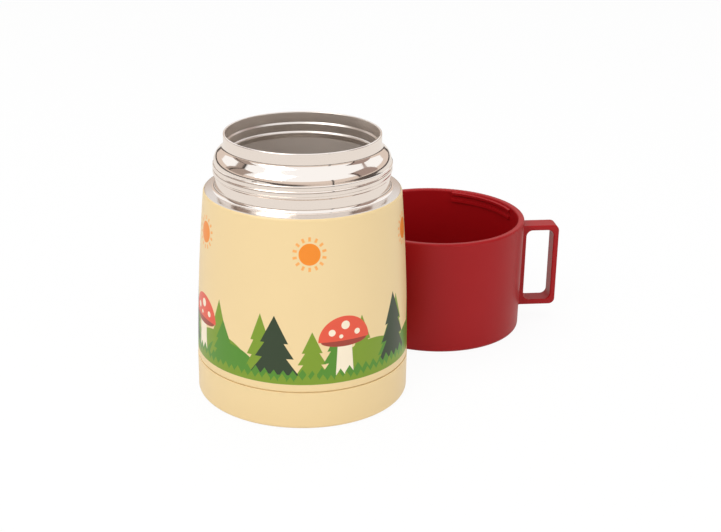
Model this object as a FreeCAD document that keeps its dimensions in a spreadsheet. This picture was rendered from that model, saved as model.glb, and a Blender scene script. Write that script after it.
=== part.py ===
import FreeCAD, Part
import Sketcher

import math
import os

# Insulated food jar of about 350 ml: a double-walled steel jar, a push-in stopper with a vent button,
# and a cup with a handle that screws over the neck as the lid. All sizes are in millimetres. +Z is up
# and the origin is the centre of the jar's foot. The cup stands mouth up behind the jar on the right,
# and the stopper stands behind the jar.

doc = FreeCAD.newDocument("food_jar")


# The driving dimensions, in one sheet.

SIZES = [
    # Jar, outside.
    ("base_r", 47.5),
    ("cap_top_z", 17.2),
    ("cap_gauge", 0.6),
    ("cap_edge_r", 1.6),
    ("cap_inner_round", 1.1),
    ("foot_outer_r", 45.9),
    ("foot_inner_r", 41.5),
    ("foot_rise", 1.2),
    ("foot_bend", 0.36),
    ("skirt_r", 46.8),
    ("skirt_foot_z", 3.6),
    ("joggle_z", 17.2),
    ("body_foot_r", 47.4),
    ("body_foot_z", 17.7),
    ("body_bow_r", 1070.0),
    ("body_top_r", 43.5),
    ("body_top_z", 92.6),
    ("shoulder_edge_r", 42.1),
    ("shoulder_z", 94.1),
    ("shoulder_round", 1.5),
    ("cove_foot_r", 39.9),
    ("cove_foot_z", 94.5),
    ("cove_round", 1.9),
    ("collar_r", 38.1),
    ("collar_foot_z", 96.4),
    ("collar_top_z", 100.2),
    ("band_r", 38.7),
    ("band_foot_z", 100.8),
    ("band_top_z", 106.4),
    ("flare_round", 6.6),
    ("flare_top_r", 34.9),
    ("flare_top_z", 112.3),
    ("flare_inset", 0.315),
    ("lip_cove_round", 1.3),
    ("lip_foot_z", 113.4),
    ("lip_r", 34.25),
    ("rim_z", 118.8),
    ("shell_gauge", 0.45),
    # Jar, inside.
    ("liner_gauge", 0.45),
    ("liner_lip_foot_z", 114.0),
    ("ledge_z", 113.2),
    ("band_inner_r", 32.9),
    ("bead_top_z", 109.9),
    ("bead_foot_z", 107.7),
    ("bead_round", 1.3),
    ("throat_top_z", 106.7),
    ("throat_r", 33.3),
    ("throat_foot_z", 97.0),
    ("throat_foot_rise", 0.18),
    ("liner_shoulder_z", 89.0),
    ("liner_shoulder_round", 7.5),
    ("liner_r", 38.9),
    ("liner_foot_z", 17.0),
    ("liner_floor_z", 10.4),
    ("liner_corner_r", 5.5),
    ("liner_crown", 1.0),
    ("crown_flat_r", 14.0),
    # Pieces in the vacuum space.
    ("foil_r", 39.6),
    ("foil_gauge", 0.12),
    ("foil_foot_z", 20.0),
    ("foil_height", 62.0),
    ("vacuum_flange_z", 6.8),
    ("vacuum_gauge", 0.7),
    ("dish_r", 30.0),
    ("dish_drop", 1.0),
    ("dish_slope", 1.5),
    ("dish_bend", 0.5),
    ("vent_hole_r", 1.2),
    ("seal_r", 3.0),
    ("seal_flat_r", 1.8),
    ("seal_thick", 0.9),
    ("seal_round", 2.2),
    ("getter_r", 5.0),
    ("getter_thick", 1.6),
    ("getter_offset", 20.0),
    # Cup.
    ("cup_x", 66.34),
    ("cup_y", 73.68),
    ("cup_turn", 4.5),
    ("cup_rim_r", 43.4),
    ("cup_foot_r", 42.85),
    ("cup_height", 55.5),
    ("cup_wall", 3.1),
    ("cup_floor", 3.2),
    ("cup_edge_r", 1.3),
    ("cup_rim_round", 0.9),
    ("cup_corner_r", 4.0),
    ("cup_recess_r", 38.0),
    ("cup_recess", 0.8),
    ("handle_reach", 61.6),
    ("handle_foot_z", 7.5),
    ("handle_top_z", 49.8),
    ("handle_width", 9.5),
    ("handle_bar", 2.6),
    ("handle_root_r", 42.0),
    ("handle_hole_r", 45.3),
    ("handle_corner_r", 3.1),
    ("handle_outer_corner_r", 3.0),
    ("handle_edge_r", 0.7),
    ("handle_root_round", 1.2),
    ("ridge_tip_r", 39.2),
    ("ridge_root", 0.4),
    ("ridge_foot_width", 2.1),
    ("ridge_tip_width", 1.2),
    ("ridge_upper_z", 53.3),
    ("ridge_pitch", 3.65),
    ("ridge_start_deg", 12.5),
    ("ridge_span_deg", 56.0),
    ("ridge_starts", 3),
    # Stopper.
    ("stopper_x", -18.0),
    ("stopper_y", 95.0),
    ("plug_r", 31.6),
    ("plug_wall", 2.6),
    ("plug_floor", 2.0),
    ("plug_edge", 0.8),
    ("flange_r", 34.0),
    ("flange_z", 20.0),
    ("flange_thick", 2.0),
    ("seat_r", 9.5),
    ("seat_z", 5.0),
    ("seat_thick", 2.0),
    ("seat_wall", 1.6),
    ("groove_floor_r", 30.2),
    ("groove_low_z", 2.6),
    ("groove_high_z", 8.6),
    ("gasket_body_r", 31.5),
    ("gasket_slack", 0.05),
    ("fin_r", 33.6),
    ("fin_count", 3),
    ("fin_step", 2.0),
    ("fin_start", 0.35),
    ("fin_rise", 0.63),
    ("fin_tip", 0.28),
    ("fin_foot", 1.05),
    ("rim_gasket_thick", 1.1),
    ("cover_r", 34.6),
    ("cover_wall", 2.0),
    ("cover_top_z", 33.0),
    ("cover_round", 2.0),
    ("grip_scallop_r", 2.2),
    ("grip_bite", 0.7),
    ("grip_height", 8.2),
    ("grip_count", 24),
    ("well_r", 10.4),
    ("well_edge_r", 0.6),
    ("well_wall", 1.5),
    ("well_floor_z", 22.0),
    ("guide_r", 4.4),
    ("guide_bore_r", 2.6),
    ("play", 0.1),
    ("foam_gap", 0.3),
    ("button_r", 10.0),
    ("button_top_z", 34.2),
    ("button_skirt_z", 26.5),
    ("button_wall", 1.3),
    ("button_round", 1.2),
    ("button_dish", 0.4),
    ("button_land", 1.2),
    ("stem_r", 2.3),
    ("stem_head_r", 3.8),
    ("stem_head_thick", 0.6),
    ("valve_r", 7.2),
    ("valve_thick", 1.5),
    ("valve_edge_r", 0.4),
    ("valve_gap", 0.04),
    ("spring_r", 5.6),
    ("spring_wire_r", 0.35),
    ("spring_turns", 4.5),
]

sheet = doc.addObject("Spreadsheet::Sheet", "Dims")
for row, (alias, value) in enumerate(SIZES, start=1):
    sheet.set(f"A{row}", alias)
    sheet.set(f"B{row}", str(value))
    sheet.setAlias(f"B{row}", alias)
doc.recompute()


class Size:
    """A number together with the sheet expression that it comes from."""

    def __init__(self, value, text):
        self.value = value
        self.text = text

    def joined(self, other, sign, value):
        text = other.text if isinstance(other, Size) else str(other)
        return Size(value, f"({self.text} {sign} {text})")

    def __add__(self, other):
        return self.joined(other, "+", self.value + number(other))

    def __sub__(self, other):
        return self.joined(other, "-", self.value - number(other))

    def __mul__(self, other):
        return self.joined(other, "*", self.value * number(other))

    def __truediv__(self, other):
        return self.joined(other, "/", self.value / number(other))


def number(size):
    return size.value if isinstance(size, Size) else float(size)


class Dims:
    """Gives each cell of the sheet as a Size, by its alias."""

    def __getattr__(self, alias):
        return Size(float(sheet.get(alias)), f"Dims.{alias}")


d = Dims()


TOUCH = 1e-4        # Two places closer than this are the same place.
LONG_SHARE = 0.85   # An edge that runs the handle's whole height is at least this share of it.


def plane(body, role):
    return next(f for f in body.Origin.OriginFeatures if f.Role == role)


def plane_axis(body, role):
    return next(f for f in body.Origin.OriginFeatures if f.Role == role)


def new_body(name):
    body = doc.addObject("PartDesign::Body", name)
    body.Label = name
    return body


def bind(sketch, index, size):
    if isinstance(size, Size):
        sketch.setExpression(f"Constraints[{index}]", size.text)


def arc_between(start, end, radius, side):
    """The arc from start to end whose centre lies on the left (side 1) or the right (side -1)."""
    chord = end - start
    half = chord.Length / 2
    reach = max(radius * radius - half * half, 0.0) ** 0.5
    left = FreeCAD.Vector(-chord.y, chord.x, 0).normalize()
    centre = (start + end) / 2 + left * (reach * side)
    first, last = (start, end) if side > 0 else (end, start)
    begin = math.atan2(first.y - centre.y, first.x - centre.x)
    finish = math.atan2(last.y - centre.y, last.x - centre.x)
    if finish <= begin:
        finish += 2 * math.pi
    circle = Part.Circle(centre, FreeCAD.Vector(0, 0, 1), radius)
    return Part.ArcOfCircle(circle, begin, finish)


def add_outline(body, name, steps, role="XZ_Plane", turn=0.0):
    """Draws a closed outline. A step is (x, y), reached by a line, or (x, y, radius, side), by an arc."""
    sketch = body.newObject("Sketcher::SketchObject", name)
    sketch.AttachmentSupport = [(plane(body, role), "")]
    sketch.MapMode = "FlatFace"
    if turn:
        spin = FreeCAD.Rotation(FreeCAD.Vector(0, 1, 0), turn)
        sketch.AttachmentOffset = FreeCAD.Placement(FreeCAD.Vector(), spin)
    draw_loop(sketch, steps)
    doc.recompute()
    return sketch


def draw_loop(sketch, steps):
    points = [FreeCAD.Vector(number(s[0]), number(s[1]), 0) for s in steps]
    count = len(steps)
    first = sketch.GeometryCount
    ends = []
    for i in range(count):
        start, end = points[i], points[(i + 1) % count]
        step = steps[(i + 1) % count]
        if len(step) == 2:
            sketch.addGeometry(Part.LineSegment(start, end), False)
            ends.append((1, 2))
        else:
            sketch.addGeometry(arc_between(start, end, number(step[2]), step[3]), False)
            ends.append((1, 2) if step[3] > 0 else (2, 1))
    for i in range(count):
        following = (i + 1) % count
        link = (first + i, ends[i][1], first + following, ends[following][0])
        sketch.addConstraint(Sketcher.Constraint("Coincident", *link))
    for i, step in enumerate(steps):
        across, up = points[i].x, points[i].y
        at = (first + i, ends[i][0])
        if abs(across) < TOUCH:
            sketch.addConstraint(Sketcher.Constraint("PointOnObject", *at, -2))
        else:
            index = sketch.addConstraint(Sketcher.Constraint("DistanceX", -1, 1, *at, across))
            bind(sketch, index, step[0])
        if abs(up) < TOUCH:
            sketch.addConstraint(Sketcher.Constraint("PointOnObject", *at, -1))
        else:
            index = sketch.addConstraint(Sketcher.Constraint("DistanceY", -1, 1, *at, up))
            bind(sketch, index, step[1])
        if len(step) == 4:
            radius = number(step[2])
            arc = first + (i - 1) % count
            index = sketch.addConstraint(Sketcher.Constraint("Radius", arc, radius))
            bind(sketch, index, step[2])


def revolve(body, name, steps):
    """A full turn of an outline about the body's Z axis."""
    sketch = add_outline(body, name + "_outline", steps)
    turned = body.newObject("PartDesign::Revolution", name)
    turned.Profile = sketch
    turned.ReferenceAxis = (sketch, ["V_Axis"])
    turned.Angle = 360
    sketch.Visibility = False
    body.Tip = turned
    doc.recompute()
    return turned


def turned_piece(name, steps):
    body = new_body(name)
    revolve(body, name + "_turned", steps)
    return body


def stand_at(body, x, y):
    """Stands a piece that was drawn about its own axis where it rests on the table."""
    body.setExpression("Placement.Base.x", x.text)
    body.setExpression("Placement.Base.y", y.text)
    doc.recompute()


# Outer shell: drawn steel sheet, with a painted body, a polished neck and a joggled skirt that the
# base cap slips over.

def make_outer_shell():
    t = d.shell_gauge
    inset = d.flare_inset
    return turned_piece("outer_shell", [
        (d.lip_r, d.rim_z),
        (d.lip_r - t, d.rim_z),
        (d.lip_r - t, d.lip_foot_z),
        (d.flare_top_r - inset, d.flare_top_z - inset, d.lip_cove_round + t, 1),
        (d.band_r - t, d.band_top_z, d.flare_round - t, -1),
        (d.band_r - t, d.band_foot_z),
        (d.collar_r - t, d.collar_top_z),
        (d.collar_r - t, d.collar_foot_z),
        (d.cove_foot_r, d.cove_foot_z - t, d.cove_round + t, 1),
        (d.shoulder_edge_r, d.shoulder_z - t),
        (d.body_top_r - t, d.body_top_z, d.shoulder_round - t, -1),
        (d.body_foot_r - t, d.body_foot_z, d.body_bow_r - t, -1),
        (d.skirt_r - t, d.joggle_z),
        (d.skirt_r - t, d.skirt_foot_z),
        (d.skirt_r, d.skirt_foot_z),
        (d.skirt_r, d.joggle_z),
        (d.body_foot_r, d.body_foot_z),
        (d.body_top_r, d.body_top_z, d.body_bow_r, 1),
        (d.shoulder_edge_r, d.shoulder_z, d.shoulder_round, 1),
        (d.cove_foot_r, d.cove_foot_z),
        (d.collar_r, d.collar_foot_z, d.cove_round, -1),
        (d.collar_r, d.collar_top_z),
        (d.band_r, d.band_foot_z),
        (d.band_r, d.band_top_z),
        (d.flare_top_r, d.flare_top_z, d.flare_round, 1),
        (d.lip_r, d.lip_foot_z, d.lip_cove_round, -1),
    ])


# Inner liner: the food vessel's wall, lip to butt weld, with the groove and bead that the stopper
# turns and seals in.

def make_inner_liner():
    t = d.liner_gauge
    lip = d.lip_r - d.shell_gauge
    return turned_piece("inner_liner", [
        (lip, d.rim_z),
        (lip - t, d.rim_z),
        (lip - t, d.liner_lip_foot_z),
        (d.band_inner_r, d.ledge_z),
        (d.band_inner_r, d.bead_top_z),
        (d.band_inner_r, d.bead_foot_z, d.bead_round, 1),
        (d.throat_r, d.throat_top_z),
        (d.throat_r, d.throat_foot_z),
        (d.liner_r, d.liner_shoulder_z, d.liner_shoulder_round, -1),
        (d.liner_r, d.liner_foot_z),
        (d.liner_r + t, d.liner_foot_z),
        (d.liner_r + t, d.liner_shoulder_z),
        (d.throat_r + t, d.throat_foot_z + d.throat_foot_rise, d.liner_shoulder_round + t, 1),
        (d.throat_r + t, d.throat_top_z),
        (d.band_inner_r + t, d.bead_foot_z),
        (d.band_inner_r + t, d.bead_top_z, d.bead_round, -1),
        (d.band_inner_r + t, d.ledge_z),
        (lip, d.liner_lip_foot_z),
    ])


# Liner bottom: a drawn dish, butt-welded to the wall, with a floor that rises a little in the middle.

def make_liner_bottom():
    t = d.liner_gauge
    inner = d.liner_r - d.liner_corner_r
    floor = d.liner_floor_z
    return turned_piece("liner_bottom", [
        (0, floor + d.liner_crown),
        (d.crown_flat_r, floor + d.liner_crown),
        (inner, floor),
        (d.liner_r + t, floor + d.liner_corner_r + t, d.liner_corner_r + t, 1),
        (d.liner_r + t, d.liner_foot_z),
        (d.liner_r, d.liner_foot_z),
        (d.liner_r, floor + d.liner_corner_r + t),
        (inner, floor + t, d.liner_corner_r, -1),
        (d.crown_flat_r, floor + d.liner_crown + t),
        (0, floor + d.liner_crown + t),
    ])


# Radiation foil: one thin copper wrap round the liner, in the vacuum space.

def make_radiation_foil():
    r, t = d.foil_r, d.foil_gauge
    return turned_piece("radiation_foil", [
        (r, d.foil_foot_z),
        (r + t, d.foil_foot_z),
        (r + t, d.foil_foot_z + d.foil_height),
        (r, d.foil_foot_z + d.foil_height),
    ])


# Vacuum bottom: the pressed plate that closes the space between the walls, welded into the skirt,
# with the hole that the air was drawn out through.

def make_vacuum_bottom():
    t = d.vacuum_gauge
    rim = d.skirt_r - d.shell_gauge
    top = d.vacuum_flange_z
    floor = top - d.dish_drop
    return turned_piece("vacuum_bottom", [
        (rim, d.skirt_foot_z),
        (rim, top),
        (d.dish_r + d.dish_slope, top),
        (d.dish_r, floor),
        (d.vent_hole_r, floor),
        (d.vent_hole_r, floor - t),
        (d.dish_r + d.dish_bend, floor - t),
        (d.dish_r + d.dish_slope + d.dish_bend, top - t),
        (rim - t, top - t),
        (rim - t, d.skirt_foot_z),
    ])


# Seal bead: the solder glass that shuts the hole after the air is out.

def make_seal_bead():
    top = d.vacuum_flange_z - d.dish_drop - d.vacuum_gauge
    return turned_piece("seal_bead", [
        (0, top - d.seal_thick),
        (d.seal_flat_r, top - d.seal_thick),
        (d.seal_r, top, d.seal_round, 1),
        (0, top),
    ])


# Getter: the pellet on the vacuum bottom that takes up the gas that stays behind.

def make_getter():
    body = new_body("getter")
    sketch = body.newObject("Sketcher::SketchObject", "getter_outline")
    sketch.AttachmentSupport = [(plane(body, "XY_Plane"), "")]
    sketch.MapMode = "FlatFace"
    centre = FreeCAD.Vector(d.getter_offset.value, 0, 0)
    sketch.addGeometry(Part.Circle(centre, FreeCAD.Vector(0, 0, 1), d.getter_r.value), False)
    bind(sketch, sketch.addConstraint(Sketcher.Constraint("Radius", 0, d.getter_r.value)), d.getter_r)
    across = Sketcher.Constraint("DistanceX", -1, 1, 0, 3, d.getter_offset.value)
    bind(sketch, sketch.addConstraint(across), d.getter_offset)
    sketch.addConstraint(Sketcher.Constraint("PointOnObject", 0, 3, -1))
    sketch.setExpression("AttachmentOffset.Base.z", (d.vacuum_flange_z - d.dish_drop).text)
    pad = body.newObject("PartDesign::Pad", "getter_pellet")
    pad.Profile = sketch
    pad.setExpression("Length", d.getter_thick.text)
    body.Tip = pad
    doc.recompute()
    return body


# Base cap: the painted steel cup that covers the weld and carries the foot ring.

def make_base_cap():
    t = d.cap_gauge
    edge, hollow, bend = d.cap_edge_r, d.cap_inner_round, d.foot_bend
    return turned_piece("base_cap", [
        (0, d.foot_rise),
        (d.foot_inner_r - d.foot_rise, d.foot_rise),
        (d.foot_inner_r, 0),
        (d.foot_outer_r, 0),
        (d.base_r, edge, edge, 1),
        (d.base_r, d.cap_top_z),
        (d.base_r - t, d.cap_top_z),
        (d.base_r - t, t + hollow),
        (d.foot_outer_r, t, hollow, -1),
        (d.foot_inner_r + bend, t),
        (d.foot_inner_r - d.foot_rise + bend, d.foot_rise + t),
        (0, d.foot_rise + t),
    ])


# Cup: one moulding with its handle. It is the lid when it is turned over and screwed on, so it has
# two short thread ridges, three times round the inside of its mouth.

def make_cup_lid():
    body = new_body("cup_lid")
    edge, rim = d.cup_edge_r, d.cup_rim_round
    inner_rim = d.cup_rim_r - d.cup_wall
    inner_foot = d.cup_foot_r - d.cup_wall
    revolve(body, "cup_wall", [
        (0, d.cup_recess),
        (d.cup_recess_r - d.cup_recess, d.cup_recess),
        (d.cup_recess_r, 0),
        (d.cup_foot_r - edge, 0),
        (d.cup_foot_r, edge, edge, 1),
        (d.cup_rim_r, d.cup_height - rim),
        (d.cup_rim_r - rim, d.cup_height, rim, 1),
        (inner_rim + rim, d.cup_height),
        (inner_rim, d.cup_height - rim, rim, 1),
        (inner_foot, d.cup_floor + d.cup_corner_r),
        (inner_foot - d.cup_corner_r, d.cup_floor, d.cup_corner_r, -1),
        (0, d.cup_floor),
    ])
    add_handle(body)
    add_ridges(body)
    body.setExpression("Placement.Base.x", d.cup_x.text)
    body.setExpression("Placement.Base.y", d.cup_y.text)
    body.Placement.Rotation = FreeCAD.Rotation(FreeCAD.Vector(0, 0, 1), d.cup_turn.value)
    doc.recompute()
    return body


def add_handle(body):
    bar = d.handle_bar
    corner, outer = d.handle_corner_r, d.handle_outer_corner_r
    left, right = d.handle_hole_r, d.handle_reach - bar
    foot, top = d.handle_foot_z + bar, d.handle_top_z - bar
    frame = add_outline(body, "handle_frame", [
        (d.handle_root_r, d.handle_foot_z),
        (d.handle_reach - outer, d.handle_foot_z),
        (d.handle_reach, d.handle_foot_z + outer, outer, 1),
        (d.handle_reach, d.handle_top_z - outer),
        (d.handle_reach - outer, d.handle_top_z, outer, 1),
        (d.handle_root_r, d.handle_top_z),
    ])
    draw_loop(frame, [
        (left + corner, foot, corner, 1),
        (right - corner, foot),
        (right, foot + corner, corner, 1),
        (right, top - corner),
        (right - corner, top, corner, 1),
        (left + corner, top),
        (left, top - corner, corner, 1),
        (left, foot + corner),
    ])
    pad = body.newObject("PartDesign::Pad", "handle_strap")
    pad.Profile = frame
    pad.SideType = "Symmetric"
    pad.setExpression("Length", d.handle_width.text)
    frame.Visibility = False
    body.Tip = pad
    doc.recompute()
    rounds = add_rounds(body, "handle_rounds", pad, lies_on_side, d.handle_edge_r)
    add_rounds(body, "handle_roots", rounds, meets_wall, d.handle_root_round)


def add_rounds(body, name, before, wanted, radius):
    """Rounds those edges of a feature that a test picks out."""
    edges = [f"Edge{i}" for i, edge in enumerate(before.Shape.Edges, start=1) if wanted(edge)]
    rounds = body.newObject("PartDesign::Fillet", name)
    rounds.Base = (before, edges)
    rounds.setExpression("Radius", radius.text)
    body.Tip = rounds
    doc.recompute()
    return rounds


def lies_on_side(edge):
    """True for the edges of the handle's two flat sides, away from the cup's wall."""
    box = edge.BoundBox
    side = d.handle_width.value / 2
    flat = abs(abs(box.YMin) - side) < TOUCH and box.YMax - box.YMin < TOUCH
    return flat and box.XMax > d.cup_rim_r.value + d.handle_edge_r.value / 2


def meets_wall(edge):
    """True for the two long edges along which the handle leaves the outside of the cup's wall."""
    box = edge.BoundBox
    beside = d.cup_foot_r.value - d.cup_wall.value < box.XMin and box.XMax < d.cup_rim_r.value
    handle_height = d.handle_top_z.value - d.handle_foot_z.value
    return beside and box.ZMax - box.ZMin > handle_height * LONG_SHARE


def add_ridges(body):
    """Three pairs of short ridges that rise like one thread, and stop before the rim."""
    root = d.cup_rim_r - d.cup_wall + d.ridge_root
    foot, tip = d.ridge_foot_width, d.ridge_tip_width
    cut = (foot - tip) / 2
    starts = []
    for name, level in (("ridge_upper", d.ridge_upper_z), ("ridge_lower", d.ridge_upper_z - d.ridge_pitch)):
        low = level - foot / 2
        profile = add_outline(body, name + "_profile", [
            (root, low),
            (root, low + foot),
            (d.ridge_tip_r, low + foot - cut),
            (d.ridge_tip_r, low + cut),
        ], turn=d.ridge_start_deg.value)
        ridge = body.newObject("PartDesign::AdditiveHelix", name)
        ridge.Profile = profile
        ridge.ReferenceAxis = (plane_axis(body, "Z_Axis"), [""])
        ridge.Mode = "pitch-turns-angle"
        ridge.setExpression("Pitch", d.ridge_pitch.text)
        ridge.setExpression("Turns", f"{d.ridge_span_deg.text} / 360")
        ridge.Angle = 0
        ridge.LeftHanded = False
        profile.Visibility = False
        body.Tip = ridge
        doc.recompute()
        starts.append(ridge)
    around = body.newObject("PartDesign::PolarPattern", "ridges_around")
    around.Originals = starts
    around.Axis = (plane_axis(body, "Z_Axis"), [""])
    around.Angle = 360
    around.setExpression("Occurrences", d.ridge_starts.text)
    body.Tip = around
    doc.recompute()


# Stopper shell: the hollow plug, with the valve seat in its underside and the gasket's groove.

def make_stopper_shell():
    inner = d.plug_r - d.plug_wall
    seat_out = d.seat_r + d.seat_wall
    seat_top = d.seat_z + d.seat_thick
    body = turned_piece("stopper_shell", [
        (d.guide_bore_r, d.seat_z),
        (d.seat_r, d.seat_z),
        (d.seat_r, 0),
        (d.plug_r - d.plug_edge, 0),
        (d.plug_r, d.plug_edge, d.plug_edge, 1),
        (d.plug_r, d.groove_low_z),
        (d.groove_floor_r, d.groove_low_z),
        (d.groove_floor_r, d.groove_high_z),
        (d.plug_r, d.groove_high_z),
        (d.plug_r, d.flange_z),
        (d.flange_r, d.flange_z),
        (d.flange_r, d.flange_z + d.flange_thick),
        (inner, d.flange_z + d.flange_thick),
        (inner, d.plug_floor),
        (seat_out, d.plug_floor),
        (seat_out, seat_top),
        (d.guide_bore_r, seat_top),
    ])
    stand_at(body, d.stopper_x, d.stopper_y)
    return body


# Stopper cover: the cap over the foam, with finger grips round it, the button's well and the guide
# that the valve's stem runs in.

def make_stopper_cover():
    inner = d.cover_r - d.cover_wall
    foot = d.flange_z + d.flange_thick
    under = d.cover_top_z - d.cover_wall
    lip = d.cover_round
    well_out = d.well_r + d.well_wall
    well_under = d.well_floor_z - d.well_wall
    body = turned_piece("stopper_cover", [
        (d.guide_bore_r, d.well_floor_z),
        (d.guide_bore_r, d.seat_z + d.seat_thick + d.play),
        (d.guide_r, d.seat_z + d.seat_thick + d.play),
        (d.guide_r, well_under),
        (well_out, well_under),
        (well_out, under),
        (inner, under),
        (inner, foot),
        (d.cover_r, foot),
        (d.cover_r, d.cover_top_z - lip),
        (d.cover_r - lip, d.cover_top_z, lip, 1),
        (d.well_r + d.well_edge_r, d.cover_top_z),
        (d.well_r, d.cover_top_z - d.well_edge_r, d.well_edge_r, 1),
        (d.well_r, d.well_floor_z),
    ])
    sketch = body.newObject("Sketcher::SketchObject", "grip_outline")
    sketch.AttachmentSupport = [(plane(body, "XY_Plane"), "")]
    sketch.MapMode = "FlatFace"
    reach = d.cover_r + d.grip_scallop_r - d.grip_bite
    centre = FreeCAD.Vector(reach.value, 0, 0)
    round_cut = Part.Circle(centre, FreeCAD.Vector(0, 0, 1), d.grip_scallop_r.value)
    sketch.addGeometry(round_cut, False)
    size = sketch.addConstraint(Sketcher.Constraint("Radius", 0, d.grip_scallop_r.value))
    bind(sketch, size, d.grip_scallop_r)
    across = sketch.addConstraint(Sketcher.Constraint("DistanceX", -1, 1, 0, 3, reach.value))
    bind(sketch, across, reach)
    sketch.addConstraint(Sketcher.Constraint("PointOnObject", 0, 3, -1))
    sketch.setExpression("AttachmentOffset.Base.z", foot.text)
    scallop = body.newObject("PartDesign::Pocket", "grip_scallop")
    scallop.Profile = sketch
    scallop.Reversed = True
    scallop.setExpression("Length", d.grip_height.text)
    sketch.Visibility = False
    body.Tip = scallop
    doc.recompute()
    around = body.newObject("PartDesign::PolarPattern", "grips_around")
    around.Originals = [scallop]
    around.Axis = (plane_axis(body, "Z_Axis"), [""])
    around.Angle = 360
    around.setExpression("Occurrences", d.grip_count.text)
    body.Tip = around
    stand_at(body, d.stopper_x, d.stopper_y)
    return body


# Stopper foam: the moulded insulation between the plug and its cover, round the valve's guide.

def make_stopper_foam():
    gap = d.foam_gap
    outer = d.plug_r - d.plug_wall - gap
    step = d.seat_z + d.seat_thick + gap
    top = d.well_floor_z - d.well_wall - gap
    body = turned_piece("stopper_foam", [
        (d.seat_r + d.seat_wall + gap, d.plug_floor + gap),
        (outer, d.plug_floor + gap),
        (outer, top),
        (d.guide_r + gap, top),
        (d.guide_r + gap, step),
        (d.seat_r + d.seat_wall + gap, step),
    ])
    stand_at(body, d.stopper_x, d.stopper_y)
    return body


# Plug gasket: the silicone ring with three fins that grips the jar's throat.

def make_plug_gasket():
    back = d.groove_floor_r
    low, high = d.groove_low_z + d.gasket_slack, d.groove_high_z - d.gasket_slack
    steps = [(back, low), (d.gasket_body_r, low)]
    for fin in range(int(d.fin_count.value)):
        root = low + d.fin_step * fin + d.fin_start
        steps += [
            (d.gasket_body_r, root),
            (d.fin_r, root + d.fin_rise),
            (d.fin_r, root + d.fin_rise + d.fin_tip),
            (d.gasket_body_r, root + d.fin_foot),
        ]
    steps += [(d.gasket_body_r, high), (back, high)]
    body = turned_piece("plug_gasket", steps)
    stand_at(body, d.stopper_x, d.stopper_y)
    return body


# Rim gasket: the flat silicone ring under the flange, which lands on the jar's rim.

def make_rim_gasket():
    low = d.flange_z - d.rim_gasket_thick
    body = turned_piece("rim_gasket", [
        (d.plug_r, low),
        (d.flange_r, low),
        (d.flange_r, d.flange_z),
        (d.plug_r, d.flange_z),
    ])
    stand_at(body, d.stopper_x, d.stopper_y)
    return body


# Valve button: the round key in the middle of the stopper. Pressing it opens the vent.

def make_valve_button():
    wall, edge = d.button_wall, d.button_round
    under = d.button_top_z - wall
    body = turned_piece("valve_button", [
        (0, d.button_top_z - d.button_dish),
        (d.button_r - edge - d.button_land, d.button_top_z),
        (d.button_r - edge, d.button_top_z),
        (d.button_r, d.button_top_z - edge, edge, -1),
        (d.button_r, d.button_skirt_z),
        (d.button_r - wall, d.button_skirt_z),
        (d.button_r - wall, under),
        (0, under),
    ])
    stand_at(body, d.stopper_x, d.stopper_y)
    return body


# Valve stem: the pin that joins the button to the seal, with a head under the seal.

def make_valve_stem():
    seal_low = d.seat_z - d.valve_gap - d.valve_thick
    body = turned_piece("valve_stem", [
        (0, seal_low - d.stem_head_thick),
        (d.stem_head_r, seal_low - d.stem_head_thick),
        (d.stem_head_r, seal_low),
        (d.stem_r, seal_low),
        (d.stem_r, d.button_top_z - d.button_wall),
        (0, d.button_top_z - d.button_wall),
    ])
    stand_at(body, d.stopper_x, d.stopper_y)
    return body


# Valve seal: the silicone washer that shuts the vent hole from below.

def make_valve_seal():
    high, edge = d.seat_z - d.valve_gap, d.valve_edge_r
    body = turned_piece("valve_seal", [
        (d.stem_r, high - d.valve_thick),
        (d.valve_r - edge, high - d.valve_thick),
        (d.valve_r, high - d.valve_thick + edge, edge, 1),
        (d.valve_r, high),
        (d.stem_r, high),
    ])
    stand_at(body, d.stopper_x, d.stopper_y)
    return body


# Button spring: the coil in the well that pushes the button up again.

def make_button_spring():
    body = new_body("button_spring")
    wire = d.spring_wire_r
    foot = d.well_floor_z + wire
    rise = d.button_top_z - d.button_wall - d.well_floor_z - wire * 2
    sketch = body.newObject("Sketcher::SketchObject", "wire_outline")
    sketch.AttachmentSupport = [(plane(body, "XZ_Plane"), "")]
    sketch.MapMode = "FlatFace"
    centre = FreeCAD.Vector(d.spring_r.value, foot.value, 0)
    sketch.addGeometry(Part.Circle(centre, FreeCAD.Vector(0, 0, 1), wire.value), False)
    bind(sketch, sketch.addConstraint(Sketcher.Constraint("Radius", 0, wire.value)), wire)
    across = sketch.addConstraint(Sketcher.Constraint("DistanceX", -1, 1, 0, 3, d.spring_r.value))
    bind(sketch, across, d.spring_r)
    above = sketch.addConstraint(Sketcher.Constraint("DistanceY", -1, 1, 0, 3, foot.value))
    bind(sketch, above, foot)
    coil = body.newObject("PartDesign::AdditiveHelix", "spring_coil")
    coil.Profile = sketch
    coil.ReferenceAxis = (sketch, ["V_Axis"])
    coil.Mode = "height-turns-angle"
    coil.setExpression("Height", rise.text)
    coil.setExpression("Turns", d.spring_turns.text)
    coil.Angle = 0
    sketch.Visibility = False
    body.Tip = coil
    stand_at(body, d.stopper_x, d.stopper_y)
    return body


pieces = [
    make_outer_shell(),
    make_inner_liner(),
    make_liner_bottom(),
    make_radiation_foil(),
    make_vacuum_bottom(),
    make_seal_bead(),
    make_getter(),
    make_base_cap(),
    make_cup_lid(),
    make_stopper_shell(),
    make_stopper_cover(),
    make_stopper_foam(),
    make_plug_gasket(),
    make_rim_gasket(),
    make_valve_button(),
    make_valve_stem(),
    make_valve_seal(),
    make_button_spring(),
]

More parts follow.
